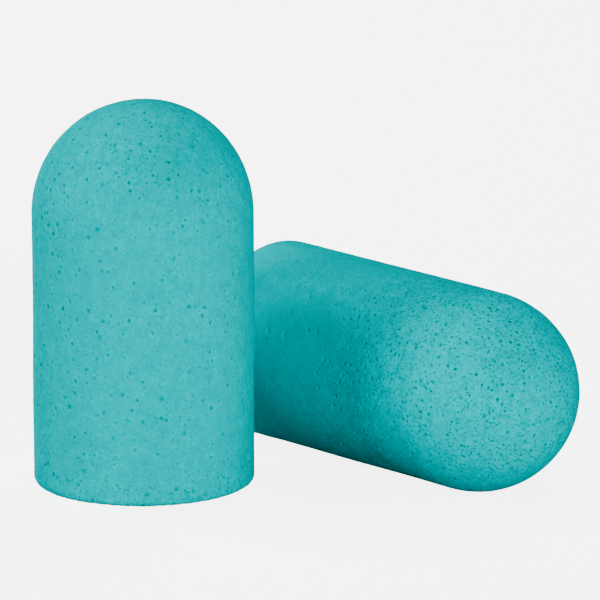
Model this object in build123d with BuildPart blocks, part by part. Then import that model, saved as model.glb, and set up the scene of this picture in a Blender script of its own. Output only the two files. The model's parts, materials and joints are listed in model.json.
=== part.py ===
"""A pair of bullet-shaped foam ear plugs, one standing on its flat end and one lying beside it.

Each plug is one piece of slow-recovery foam: a round flat end with a softened rim, a straight
round wall and a slightly stretched half-sphere for a tip. Millimetres, +Z up, the origin at the
centre of the upright plug's flat end, on the surface that both plugs rest on.
"""

from build123d import *
import math
import os

# The upright plug, and the lying one, which is a little slimmer and longer.
UPRIGHT_RADIUS = 6.5
UPRIGHT_LENGTH = 22.8
LYING_RADIUS = 5.9
LYING_LENGTH = 24.0

# Both come from one mould shape: the tip's height over its radius, and the flat end's soft rim.
TIP_STRETCH = 1.034
RIM_RADIUS = 0.35

# Where the lying plug is: how far its tip is turned from +X towards -Y, the clear gap between
# the two walls, and how far its flat end lies behind the place where the walls are nearest.
LYING_TURN = 48.5
WALL_GAP = 0.87
FLAT_END_BEHIND = 3.4

# The middle weight that makes a three-point rational curve a true quarter of an ellipse.
QUARTER_WEIGHT = math.sqrt(0.5)


def foam_plug(flat_end, radius, length):
    """One plug, grown from the plane of its flat end along that plane's normal."""
    profile_plane = Plane(origin=flat_end.origin, x_dir=flat_end.x_dir, z_dir=-flat_end.y_dir)
    wall_top = (radius, length - radius * TIP_STRETCH)
    tip = (0, length)
    with BuildPart() as plug:
        with BuildSketch(profile_plane):
            with BuildLine():
                Line((0, 0), (radius, 0))
                Line((radius, 0), wall_top)
                Bezier(wall_top, (radius, length), tip, weights=[1, QUARTER_WEIGHT, 1])
                Line(tip, (0, 0))
            make_face()
        revolve(axis=Axis(flat_end.origin, flat_end.z_dir))
        flat_face = plug.faces().filter_by(GeomType.PLANE)[0]
        fillet(flat_face.edges(), RIM_RADIUS)
    return plug


def lying_flat_end():
    """The plane of the lying plug's flat end, whose normal points along the plug to its tip."""
    turn = math.radians(LYING_TURN)
    along = Vector(math.cos(turn), -math.sin(turn), 0)
    away = Vector(math.sin(turn), math.cos(turn), 0)
    nearest = away * (UPRIGHT_RADIUS + WALL_GAP + LYING_RADIUS)
    centre = nearest - along * FLAT_END_BEHIND + Vector(0, 0, LYING_RADIUS)
    return Plane(origin=centre, x_dir=away, z_dir=along)


upright_ear_plug = foam_plug(Plane.XY, UPRIGHT_RADIUS, UPRIGHT_LENGTH)
upright_ear_plug.part.label = "upright_ear_plug"

lying_ear_plug = foam_plug(lying_flat_end(), LYING_RADIUS, LYING_LENGTH)
lying_ear_plug.part.label = "lying_ear_plug"

os.makedirs("parts", exist_ok=True)
for plug in (upright_ear_plug, lying_ear_plug):
    export_step(plug.part, f"parts/{plug.part.label}.step")
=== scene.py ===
"""The looks of a pair of foam ear plugs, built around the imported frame. Lengths are in metres.

Each plug is one closed foam mesh. Its points are laid out on a flat map of the plug's whole
surface, on which small circles stay circles, so that round pores can be strewn anywhere. They are
joined into triangles on that map and then wrapped onto the plug.
"""

import json
import math

import bpy
import numpy as np
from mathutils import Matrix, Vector
from mathutils.geometry import delaunay_2d_cdt
from mathutils.kdtree import KDTree


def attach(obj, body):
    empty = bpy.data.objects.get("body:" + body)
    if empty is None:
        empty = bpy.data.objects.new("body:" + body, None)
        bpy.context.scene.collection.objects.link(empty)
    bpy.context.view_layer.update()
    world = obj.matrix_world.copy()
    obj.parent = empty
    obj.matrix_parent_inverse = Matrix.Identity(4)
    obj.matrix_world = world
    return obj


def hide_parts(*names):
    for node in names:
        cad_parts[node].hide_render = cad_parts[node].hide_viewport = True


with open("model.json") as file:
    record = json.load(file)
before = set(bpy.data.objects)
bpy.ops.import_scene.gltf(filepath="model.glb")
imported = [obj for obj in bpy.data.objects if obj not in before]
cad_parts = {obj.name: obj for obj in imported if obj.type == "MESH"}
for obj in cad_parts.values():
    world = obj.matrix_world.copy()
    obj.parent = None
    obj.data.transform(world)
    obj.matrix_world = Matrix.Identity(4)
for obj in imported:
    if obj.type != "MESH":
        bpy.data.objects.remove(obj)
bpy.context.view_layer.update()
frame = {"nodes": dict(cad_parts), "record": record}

MM = 0.001

# The share of a turn from one point to the next that strews points evenly round an axis.
GOLDEN_TURN = (3 - math.sqrt(5)) / 2

# A pore's rings of points: radius over the pore's own, depth over the pore's depth, how much
# painted shade darkens the foam there, and how many points. A small pore does without the
# second ring. The last ring is the pore's lip, a little higher than the foam around it and paler
# with a painted highlight.
PORE_RINGS = [
    (0.0, 1.0, 1.0, 1),
    (0.68, 0.8, 0.9, 6),
    (1.0, 0.05, 0.3, 7),
    (1.4, -0.12, -0.25, 7),
]
INNER_RING = 1
OUTER_RING = 3
LARGE_PORE = 0.085 * MM

# How pores differ: the spread of their sizes, their length over their width, their depth over
# their radius, how much painted shade darkens them, and how far a ring's points wander from its
# radius.
SIZE_SPREAD = 0.38
PORE_STRETCH = (1.0, 1.4)
PORE_DEPTH = 0.45
DEPTH_RANGE = (0.6, 1.3)
PAINTED_SHADE_RANGE = (0.45, 1.0)
RING_WANDER = (0.88, 1.12)

# Room round a pore, over its radius: to the next pore, to a neighbour's lip, and to the points
# between pores. MIDDLE_ROOM is the room that the middle of the flat end keeps, over the largest
# pore's radius.
PORE_ROOM = 1.3
CLEAR_OF_LIP = 1.15
CLEAR_OF_PORE = 1.6
MIDDLE_ROOM = 4

# The points between pores, and the last small ring round the middle of the flat end, with the
# share of cells that are open there.
FILL_SPACING = 0.27 * MM
MIDDLE_RING = 0.15 * MM
MIDDLE_POINTS = 12
MIDDLE_OPENNESS = 0.5

# What delaunay_2d_cdt is told: to give all triangles, and how near two places are that are one.
ALL_TRIANGLES = 0
SAME_PLACE = 1e-9

# Height and wavelength of the plugs' unevenness, and the wavelength of more and less open foam.
BROAD_SWELL = (0.018 * MM, 9 * MM)
SMALL_SWELL = (0.004 * MM, 1.6 * MM)
PATCH_SIZE = 5 * MM


# ---------------------------------------------------------------- the plugs' own sizes

def mount(name):
    """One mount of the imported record."""
    return next(m for m in frame["record"]["mounts"] if m["name"] == name)


class Outline:
    """A plug's measures, read from the frame: where its flat end is, which way it points, and
    its outline from the tip to the middle of the flat end."""

    STEPS = 3000  # samples of each stretch of the outline

    def __init__(self, node, flat_end, wall):
        """Reads a node's mesh and the mounts of its flat end and wall, then traces the outline."""
        face = mount(flat_end)
        pin = mount(wall)
        self.origin = np.array(face["pos_m"], float)
        self.along = -np.array(face["axis"], float)
        stands = abs(self.along[2]) > 0.5
        across = np.array([1.0, 0.0, 0.0] if stands else [0.0, 0.0, 1.0])
        self.side = across - across @ self.along * self.along
        self.up = np.cross(self.along, self.side)
        self.radius = pin["dims"]["r_mm"] * MM
        wall_middle = (np.array(pin["pos_m"]) - self.origin) @ self.along
        half_wall = pin["dims"]["length_mm"] * MM / 2
        self.rim = wall_middle - half_wall
        self.wall_end = wall_middle + half_wall
        corners = np.array([v.co for v in frame["nodes"][node].data.vertices])
        self.length = ((corners - self.origin) @ self.along).max()
        self.trace()

    def trace(self):
        """Samples the outline and what is measured along it: the distance from the tip, the
        surface's area so far, the flat map's log radius, and the surface's normal."""
        turn = np.linspace(0, math.pi / 2, self.STEPS)
        share = np.linspace(0, 1, self.STEPS)
        tip = self.length - self.wall_end
        flat = self.radius - self.rim
        runs = [
            (self.radius * np.sin(turn), self.wall_end + tip * np.cos(turn)),
            (self.radius + 0 * share, self.wall_end + (self.rim - self.wall_end) * share),
            (flat + self.rim * np.cos(turn), self.rim * (1 - np.sin(turn))),
            (flat * (1 - share), 0 * share),
        ]
        line = np.concatenate([np.array(run)[:, 1:] for run in runs], axis=1)
        self.out, self.height = np.concatenate([[[0], [self.length]], line], axis=1)
        step = np.hypot(np.diff(self.out), np.diff(self.height))
        middle = (self.out[1:] + self.out[:-1]) / 2
        self.distance = np.concatenate([[0], np.cumsum(step)])
        self.area = np.concatenate([[0], np.cumsum(2 * math.pi * middle * step)])
        log_map = np.concatenate([[0], np.cumsum(step / middle)])
        self.log_map = log_map - log_map[self.STEPS]
        self.normal_out = -np.gradient(self.height, self.distance)
        self.normal_along = np.gradient(self.out, self.distance)

    def at(self, values, distance):
        """What one of the traced values is at these distances from the tip."""
        return np.interp(distance, self.distance, values)

    def to_map(self, distance, angle):
        """Places on the surface as complex numbers on the flat map."""
        return np.exp(self.at(self.log_map, distance) + 1j * angle)

    def from_map(self, places):
        """The distance from the tip and the angle of places on the flat map."""
        return np.interp(np.log(np.abs(places)), self.log_map, self.distance), np.angle(places)

    def map_scale(self, places):
        """How much larger the flat map is than the surface, at places on the map."""
        distance, _ = self.from_map(places)
        return np.abs(places) / self.at(self.out, distance)

    def strew(self, area_share, turns):
        """Places on the map, from shares of the surface's area and turns round the axis."""
        distance = np.interp(area_share * self.area[-1], self.area, self.distance)
        return self.to_map(distance, 2 * math.pi * turns)

    def wrap(self, places):
        """Points in space and outward normals, for places on the map."""
        distance, angle = self.from_map(places)
        round_axis = np.outer(np.cos(angle), self.side) + np.outer(np.sin(angle), self.up)
        points = (self.origin + self.at(self.out, distance)[:, None] * round_axis
                  + np.outer(self.at(self.height, distance), self.along))
        normals = (self.at(self.normal_out, distance)[:, None] * round_axis
                   + np.outer(self.at(self.normal_along, distance), self.along))
        return points, normals


# ---------------------------------------------------------------- foam meshes

def waves(points, wavelength, rng, count=16):
    """Smooth random heights, mostly from -1 to 1: plane waves that cross."""
    heading = rng.normal(size=(count, 3))
    heading *= 2 * math.pi / wavelength / np.linalg.norm(heading, axis=1)[:, None]
    start = rng.uniform(0, 2 * math.pi, count)
    return np.sin(points @ heading.T + start).sum(1) / math.sqrt(count)


def tree_of(points):
    """A search tree of points in space."""
    tree = KDTree(len(points))
    for i, point in enumerate(points):
        tree.insert(point, i)
    tree.balance()
    return tree


def keep_apart(points, radii):
    """Which pores stay when each must leave room for the larger ones before it."""
    cell = 2 * PORE_ROOM * radii.max()
    taken = {}
    kept = []
    for i, (x, y, z) in enumerate(points.tolist()):
        column, row, layer = int(x // cell), int(y // cell), int(z // cell)
        near = (j for dx in (-1, 0, 1) for dy in (-1, 0, 1) for dz in (-1, 0, 1)
                for j in taken.get((column + dx, row + dy, layer + dz), ()))
        if all(math.dist(points[i], points[j]) > PORE_ROOM * (radii[i] + radii[j]) for j in near):
            taken.setdefault((column, row, layer), []).append(i)
            kept.append(i)
    return kept


def strew_pores(plug, rng, openness, per_mm2, typical, largest):
    """The pores' places on the map and their radii, largest first, none touching another."""
    count = int(per_mm2 * plug.area[-1] / MM**2)
    places = plug.strew(rng.random(count), rng.random(count))
    radii = np.minimum(typical * np.exp(SIZE_SPREAD * rng.standard_normal(count)), largest)
    points, _ = plug.wrap(places)
    distance, _ = plug.from_map(places)
    clear_of_middle = distance < plug.distance[-1] - MIDDLE_ROOM * largest
    wanted = (rng.random(count) < openness(points)) & clear_of_middle
    order = np.flatnonzero(wanted)[np.argsort(-radii[wanted])]
    kept = order[keep_apart(points[order], radii[order])]
    return places[kept], radii[kept]


def pore_points(plug, rng, places, radii):
    """The rings of points that make each pore, as places on the map, depths and painted shade, and
    for each point the pore it belongs to and whether it is on the pore's outer ring. The painted
    shade is below zero on the lip, where it is a painted highlight."""
    widen = rng.uniform(*PORE_STRETCH, len(places)) ** 0.5
    heading = np.exp(1j * rng.uniform(0, 2 * math.pi, len(places)))
    depth = PORE_DEPTH * radii * rng.uniform(*DEPTH_RANGE, len(places))
    painted_shade_and_highlight = rng.uniform(*PAINTED_SHADE_RANGE, len(places))
    size = radii * plug.map_scale(places) * heading
    rings = []
    for k, (reach, deep, darkness, sides) in enumerate(PORE_RINGS):
        own = np.flatnonzero(radii > LARGE_PORE) if k == INNER_RING else np.arange(len(places))
        corner = (np.arange(sides) + rng.random(len(own))[:, None]) / sides
        ring = reach * np.exp(2j * math.pi * corner) * rng.uniform(*RING_WANDER, corner.shape)
        ring = ring.real * widen[own, None] + 1j * ring.imag / widen[own, None]
        spots = places[own, None] + ring * size[own, None]
        outer = np.full(len(own), k == OUTER_RING)
        shared = (deep * depth[own], darkness * painted_shade_and_highlight[own], own, outer)
        rings.append([spots.ravel()] + [np.repeat(values, sides) for values in shared])
    return [np.concatenate(column) for column in zip(*rings)]


def clear_of_pores(points, owner, pore_centres, radii, room):
    """True for the points that lie outside every pore but their own, with this much room."""
    tree = tree_of(pore_centres)
    reach = room * radii.max()
    return np.array([all(j == own or away > room * radii[j]
                         for _, j, away in tree.find_range(point, reach))
                     for point, own in zip(points, owner)])


def points_between(plug, pore_centres, radii):
    """Evenly strewn places on the map that are clear of the pores and of the middle ring."""
    count = int(plug.area[-1] / FILL_SPACING**2)
    order = (np.arange(count) + 0.5) / count
    fill = plug.strew(order, np.arange(count) * GOLDEN_TURN)
    fill = fill[plug.from_map(fill)[0] < plug.distance[-1] - MIDDLE_RING - FILL_SPACING / 2]
    points, _ = plug.wrap(fill)
    no_owner = -np.ones(len(fill))
    return fill[clear_of_pores(points, no_owner, pore_centres, radii, CLEAR_OF_PORE)]


def join_on_map(flat_map):
    """Triangles between the places on the map, as rows of three point numbers."""
    corners = [Vector((place.real, place.imag)) for place in flat_map]
    joined = delaunay_2d_cdt(corners, [], [], ALL_TRIANGLES, SAME_PLACE)
    _, _, faces, sources, _, _ = joined
    source = np.array([originals[0] for originals in sources])
    return source[np.array(faces)]


def slightly_uneven(points, normals, rng):
    """A moulded plug's small unevenness: it bulges and dips by some hundredths of a millimetre.
    Where it rests on the floor it is flat."""
    swell = sum(height * waves(points, wavelength, rng)
                for height, wavelength in (BROAD_SWELL, SMALL_SWELL))
    uneven = points + swell[:, None] * normals
    uneven[:, 2] = np.maximum(uneven[:, 2], 0)
    return uneven


def turn_outward(triangles, points, normals):
    """The triangles, each with its corners in the order that makes it face outward."""
    a, b, c = (points[triangles[:, k]] for k in range(3))
    inward = (np.cross(b - a, c - a) * normals[triangles[:, 0]]).sum(1) < 0
    triangles[inward] = triangles[inward][:, ::-1]
    return triangles


def foam_object(name, points, triangles, shades):
    """A smooth-shaded object, with a value at each point for every named shade."""
    mesh = bpy.data.meshes.new(name)
    mesh.from_pydata(points.tolist(), [], triangles.tolist())
    mesh.shade_smooth()
    for kind, values in shades.items():
        attribute = mesh.attributes.new(kind, "FLOAT", "POINT")
        attribute.data.foreach_set("value", values.astype(np.float32))
    plug_object = bpy.data.objects.new(name, mesh)
    bpy.context.scene.collection.objects.link(plug_object)
    return plug_object


def foam_plug(name, plug, seed, openness, pores):
    """One plug's mesh: pores and the points between them joined on the map, then wrapped. A fan
    of triangles closes the middle of the flat end, which the map leaves out."""
    rng = np.random.default_rng(seed)
    centres, radii = strew_pores(plug, rng, openness, **pores)
    centre_points, _ = plug.wrap(centres)
    places, depth, painted_shade_and_highlight, owner, outer = pore_points(plug, rng, centres, radii)
    points, _ = plug.wrap(places)
    keep = ~outer
    keep[outer] = clear_of_pores(points[outer], owner[outer], centre_points, radii, CLEAR_OF_LIP)
    fill = points_between(plug, centre_points, radii)
    corners = 2 * math.pi * np.arange(MIDDLE_POINTS) / MIDDLE_POINTS
    middle_ring = plug.to_map(plug.distance[-1] - MIDDLE_RING, corners)

    flat_map = np.concatenate([places[keep], fill, middle_ring])
    level = np.zeros(len(fill) + MIDDLE_POINTS)
    depth = np.concatenate([depth[keep], level])
    # Painted shade in the pores and a painted highlight on their lips; none between the pores, on
    # the middle ring or at the middle of the flat end.
    painted_shade_and_highlight = np.concatenate([painted_shade_and_highlight[keep], level, [0]])
    points, normals = plug.wrap(flat_map)
    open_cells = np.append(openness(points), MIDDLE_OPENNESS)
    points = slightly_uneven(points, normals, rng) - depth[:, None] * normals

    middle = len(points)
    ring = np.arange(middle - MIDDLE_POINTS, middle)
    fan = np.stack([ring, np.roll(ring, -1), np.full(MIDDLE_POINTS, middle)], axis=1)
    points = np.concatenate([points, [points[ring].mean(0)]])
    normals = np.concatenate([normals, [-plug.along]])
    triangles = np.concatenate([join_on_map(flat_map), fan])
    triangles = turn_outward(triangles, points, normals)
    print(f"{name}: {len(centres)} pores, {len(triangles)} triangles")
    # The pore attribute carries the painted shade and painted highlight to the material.
    return foam_object(name, points, triangles, {"pore": painted_shade_and_highlight, "openness": open_cells})


# ---------------------------------------------------------------- the two plugs

upright = Outline("upright_ear_plug", "upright_flat_end", "upright_wall")
lying = Outline("lying_ear_plug", "lying_flat_end", "lying_wall")


def step_up(values, low, high):
    """Rises smoothly from 0 to 1 while the values go from low to high."""
    share = np.clip((values - low) / (high - low), 0, 1)
    return share * share * (3 - 2 * share)


def upright_openness(points):
    """The share of cells that are open here, 0 to 1. The upright plug has fewest of them halfway
    up, some more on its tip and most within 3 mm of its foot."""
    height = (points - upright.origin) @ upright.along
    patches = waves(points, PATCH_SIZE, np.random.default_rng(5))
    foot = step_up(-height, -3 * MM, -0.5 * MM)
    tip = step_up(height, 0.55 * upright.length, 0.9 * upright.length)
    return np.clip(0.45 + 0.12 * patches + 0.4 * foot + 0.2 * tip, 0, 1)


def lying_openness(points):
    """The share of cells that are open here, 0 to 1. The lying plug has most near its tip."""
    share = ((points - lying.origin) @ lying.along) / lying.length
    patches = waves(points, PATCH_SIZE, np.random.default_rng(6))
    return np.clip(0.1 + 0.9 * step_up(share, 0.32, 0.72) + 0.08 * patches, 0, 1)


upright_foam = foam_plug("upright_foam_plug", upright, 11, upright_openness,
                         {"per_mm2": 6.0, "typical": 0.066 * MM, "largest": 0.14 * MM})
lying_foam = foam_plug("lying_foam_plug", lying, 23, lying_openness,
                       {"per_mm2": 10.0, "typical": 0.058 * MM, "largest": 0.105 * MM})


# ---------------------------------------------------------------- material

# Foam colours. The mix goes towards the deeper teal for the foam's own grain and blotches and for
# the painted shade in pores and bubbles, and towards the lighter teal for the painted highlight on
# the pores' lips.
LIGHT_FOAM = (0.025, 0.66, 0.69, 1)
DEEP_FOAM_AND_PAINTED_SHADE = (0.0, 0.1, 0.103, 1)
GLOSS = (0.1, 0.9, 1.0, 1)
# The colour of a few painted glints, pale specks where light would catch a cell wall.
PAINTED_GLINT_COLOUR = (0.14, 0.85, 0.87, 1)
BASE_SHADE = 0.14
BASE_ROUGHNESS = 0.78
SPECULAR_LEVEL = 0.12


class Pattern:
    """Builds one material's nodes. Its sizes and heights are in millimetres on the piece."""

    def __init__(self, material):
        """Starts the nodes with the material's own shader and places on the piece in mm."""
        material.use_nodes = True
        self.tree = material.node_tree
        self.shader = self.tree.nodes["Principled BSDF"]
        metres = self.add("ShaderNodeTexCoord").outputs["Object"]
        scaling = self.add("ShaderNodeVectorMath", {0: metres, "Scale": 1 / MM}, operation="SCALE")
        self.place = scaling.outputs[0]

    def add(self, kind, inputs=None, **settings):
        """A new node with its settings, and its inputs linked or set."""
        node = self.tree.nodes.new(kind)
        for name, value in settings.items():
            setattr(node, name, value)
        for name, value in (inputs or {}).items():
            if isinstance(value, bpy.types.NodeSocket):
                self.tree.links.new(value, node.inputs[name])
            else:
                node.inputs[name].default_value = value
        return node

    def math(self, operation, a, b, c=0.0):
        """One step of arithmetic on two or three values."""
        return self.add("ShaderNodeMath", {0: a, 1: b, 2: c}, operation=operation).outputs[0]

    def total(self, *terms):
        """The sum of (value, weight) pairs."""
        result = 0.0
        for value, weight in terms:
            result = self.math("MULTIPLY_ADD", value, weight, result)
        return result

    def ease(self, value, low, high, start=0.0, stop=1.0):
        """Goes smoothly from start to stop while the value goes from low to high."""
        inputs = {"Value": value, "From Min": low, "From Max": high}
        inputs.update({"To Min": start, "To Max": stop})
        return self.add("ShaderNodeMapRange", inputs, interpolation_type="SMOOTHSTEP").outputs[0]

    def grain(self, size, detail=1.0):
        """Soft random shades from about -1 to 1, with spots of this size."""
        inputs = {"Vector": self.place, "Scale": 0.5 / size, "Detail": detail}
        noise = self.add("ShaderNodeTexNoise", inputs).outputs["Fac"]
        return self.math("MULTIPLY_ADD", noise, 4.0, -2.0)

    def bubbles(self, spacing, largest):
        """1 in the middle of small round spots and 0 outside them. Their radii differ."""
        inputs = {"Vector": self.place, "Scale": 1 / spacing}
        cells = self.add("ShaderNodeTexVoronoi", inputs)
        lot = self.add("ShaderNodeSeparateColor", {0: cells.outputs["Color"]}).outputs[0]
        radius = self.math("MULTIPLY_ADD", lot, largest / spacing, 0.1 * largest / spacing)
        share = self.math("DIVIDE", cells.outputs["Distance"], radius)
        return self.ease(share, low=0.35, high=1.0, start=1.0, stop=0.0)


def foam_material(name, contrast):
    """Soft teal foam: bubbles cut open by the surface, with painted shade in their pits, a fine
    grain, blotches and a few painted glints. The painted shade in the pores and bubbles grows with
    the contrast."""
    material = bpy.data.materials.new(name)
    pattern = Pattern(material)
    shader = pattern.shader
    # The pore attribute: painted shade in the mesh's pores, and a painted highlight on their lips.
    pore = pattern.add("ShaderNodeAttribute", attribute_name="pore").outputs["Fac"]
    openness = pattern.add("ShaderNodeAttribute", attribute_name="openness").outputs["Fac"]
    # The fine and finer bubbles: small pits in the bump, darkened with painted shade in the colour.
    fine = pattern.math("MULTIPLY", pattern.bubbles(spacing=0.21, largest=0.08), openness)
    finer = pattern.math("MULTIPLY", pattern.bubbles(spacing=0.13, largest=0.055), openness)
    grain = pattern.grain(size=0.09)
    patches = pattern.grain(size=0.28, detail=2.0)
    broad = pattern.grain(size=3.0, detail=2.0)
    open_grain = pattern.math("MULTIPLY", pattern.total((grain, 0.7), (patches, 0.6)), openness)
    # The mix share towards the deeper teal: painted shade in the pores and bubbles, a painted
    # highlight on the pores' lips, and the foam's own grain, blotches and open patches.
    shade = pattern.total((pore, 0.3 * contrast), (fine, 0.24 * contrast),
                          (finer, 0.14 * contrast), (grain, 0.055), (patches, 0.055),
                          (broad, 0.015), (1.0, BASE_SHADE), (open_grain, 0.07 * contrast))
    foam_colour = pattern.add("ShaderNodeMix", {"Factor": shade, 6: LIGHT_FOAM, 7: DEEP_FOAM_AND_PAINTED_SHADE},
                              data_type="RGBA").outputs[2]
    # A few painted glints: small pale specks painted into the colour.
    painted_glint = pattern.bubbles(spacing=1.7, largest=0.06)
    colour = pattern.add("ShaderNodeMix", {"Factor": painted_glint, 6: foam_colour, 7: PAINTED_GLINT_COLOUR},
                         data_type="RGBA").outputs[2]
    height = pattern.total((fine, -0.03), (finer, -0.014), (grain, 0.005), (patches, 0.005),
                           (open_grain, -0.005))
    bump = pattern.add("ShaderNodeBump", {"Strength": 1.0, "Distance": MM, "Height": height})
    rough = pattern.total((grain, 0.05), (pore, 0.12), (patches, 0.04), (1.0, BASE_ROUGHNESS))
    pattern.tree.links.new(colour, shader.inputs["Base Color"])
    pattern.tree.links.new(rough, shader.inputs["Roughness"])
    pattern.tree.links.new(bump.outputs["Normal"], shader.inputs["Normal"])
    shader.inputs["Specular IOR Level"].default_value = SPECULAR_LEVEL
    shader.inputs["Specular Tint"].default_value = GLOSS
    return material


# The contrast scales the painted shade in each plug's pores and bubbles, and its grain where cells
# are open; it is stronger on the lying plug.
for piece, node, body, contrast in ((upright_foam, "upright_ear_plug", "upright_plug", 1.0),
                                    (lying_foam, "lying_ear_plug", "lying_plug", 1.3)):
    piece.data.materials.append(foam_material(piece.name + "_foam", contrast))
    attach(piece, body)
    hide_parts(node)


# ---------------------------------------------------------------- floor, light and camera

# The point that the camera and lamps look at, how far off they are, and how far the camera
# looks down. The lens is a focal length in millimetres.
AIM = Vector((9.18, 0, 10.85)) * MM
CAMERA_DISTANCE = 0.45
CAMERA_TILT = math.radians(13.5)
CAMERA_CLIP = 0.01
LENS = 460.8
LAMP_DISTANCE = 0.4

# The floor's colour under the lamps, and how bright floor and room look to the camera. Neither
# gives any light of its own.
FLOOR_SIDE = 6
FLOOR_COLOUR = (0.48, 0.48, 0.48, 1)
PALE_GLOW = 1.97
WHITE = (1, 1, 1, 1)


def seen_but_unlit(tree):
    """A strength that is the pale glow for what the camera sees, and no light for the plugs."""
    path = tree.nodes.new("ShaderNodeLightPath")
    strength = tree.nodes.new("ShaderNodeMapRange")
    strength.inputs["To Min"].default_value = 0.0
    strength.inputs["To Max"].default_value = PALE_GLOW
    tree.links.new(path.outputs["Is Camera Ray"], strength.inputs["Value"])
    return strength.outputs[0]


def floor():
    """A plain pale floor that glows for the camera only, as white paper lit by lamps of its own."""
    bpy.ops.mesh.primitive_plane_add(size=FLOOR_SIDE)
    plane = bpy.context.object
    plane.name = "floor"
    material = bpy.data.materials.new("pale_floor")
    material.use_nodes = True
    shader = material.node_tree.nodes["Principled BSDF"]
    shader.inputs["Base Color"].default_value = FLOOR_COLOUR
    shader.inputs["Roughness"].default_value = 1.0
    shader.inputs["Specular IOR Level"].default_value = 0.0
    shader.inputs["Emission Color"].default_value = WHITE
    glow = seen_but_unlit(material.node_tree)
    material.node_tree.links.new(glow, shader.inputs["Emission Strength"])
    plane.data.materials.append(material)


def surroundings():
    """The room beyond the floor, as pale as the floor."""
    world = bpy.data.worlds.new("room")
    world.use_nodes = True
    background = world.node_tree.nodes["Background"]
    background.inputs["Color"].default_value = WHITE
    strength = seen_but_unlit(world.node_tree)
    world.node_tree.links.new(strength, background.inputs["Strength"])
    bpy.context.scene.world = world


def area_light(name, azimuth, elevation, size, power):
    """A soft square lamp that points at the plugs. Its angles are in degrees and its power in
    watts. Azimuth 0 is the camera's side, and a positive one is to the right."""
    turn = math.radians(azimuth)
    lift = math.radians(elevation)
    level = math.cos(lift)
    away = Vector((math.sin(turn) * level, -math.cos(turn) * level, math.sin(lift)))
    data = bpy.data.lights.new(name, "AREA")
    data.size = size
    data.energy = power
    lamp = bpy.data.objects.new(name, data)
    lamp.visible_camera = False
    lamp.location = AIM + away * LAMP_DISTANCE
    lamp.rotation_mode = "QUATERNION"
    lamp.rotation_quaternion = away.to_track_quat("Z", "Y")
    bpy.context.scene.collection.objects.link(lamp)


def camera():
    """A long lens that looks straight along +Y and a little down, as in the photograph."""
    back = Vector((0, -math.cos(CAMERA_TILT), math.sin(CAMERA_TILT)))
    data = bpy.data.cameras.new("camera")
    data.lens = LENS
    data.clip_start = CAMERA_CLIP
    seen_from = bpy.data.objects.new("camera", data)
    seen_from.location = AIM + back * CAMERA_DISTANCE
    seen_from.rotation_mode = "QUATERNION"
    seen_from.rotation_quaternion = back.to_track_quat("Z", "Y")
    bpy.context.scene.collection.objects.link(seen_from)
    bpy.context.scene.camera = seen_from


floor()
surroundings()
area_light("front_lamp", 23, 7.2, 0.12, 1.14)
area_light("left_lamp", -80, 14, 0.12, 0.6)
area_light("high_left_lamp", -120, 50, 0.12, 0.66)
area_light("back_lamp", 155, 50, 0.2, 0.42)
camera()
bpy.context.scene.view_settings.look = "AgX - High Contrast"
